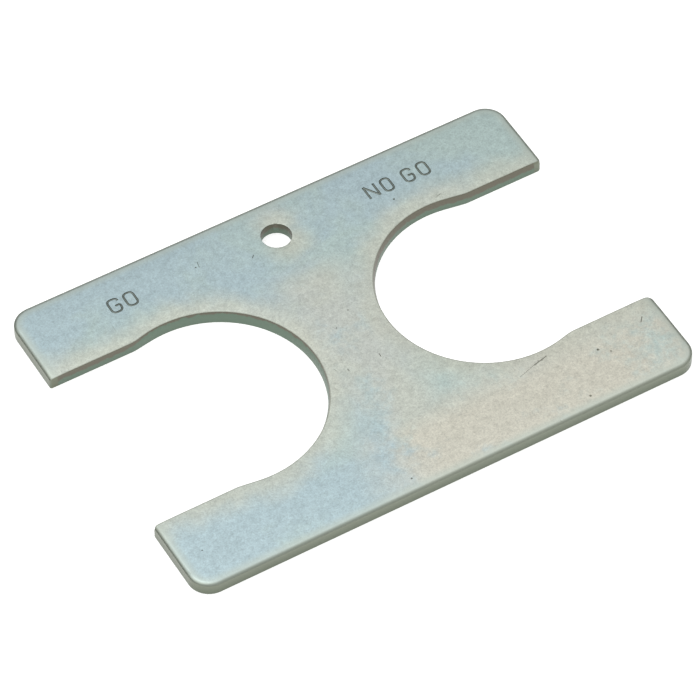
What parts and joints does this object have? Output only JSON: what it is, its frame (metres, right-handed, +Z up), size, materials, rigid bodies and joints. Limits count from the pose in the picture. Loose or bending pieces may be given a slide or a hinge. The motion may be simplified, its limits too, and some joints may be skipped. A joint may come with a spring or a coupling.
{
  "type": "crimp ring gauge",
  "caption": "Flat one-piece steel snap gauge with GO jaws at one end, slightly closer NO GO jaws at the other, a round relief behind each pair and a hanging hole.",
  "frame": {"origin": "middle of the plate's underside, half way along its length and its width", "axes": "+Z up out of the top face that carries the words, +X from the GO end to the NO GO end, +Y towards the hanging hole"},
  "size_m": [0.0666, 0.0464, 0.0018],
  "materials": {
    "zinc_plate": "bright zinc plating over sheared sheet steel, with a faint blue-green passivated tint"
  },
  "bodies": {
    "root": {"gauge_plate": "zinc_plate"}
  },
  "joints": []
}
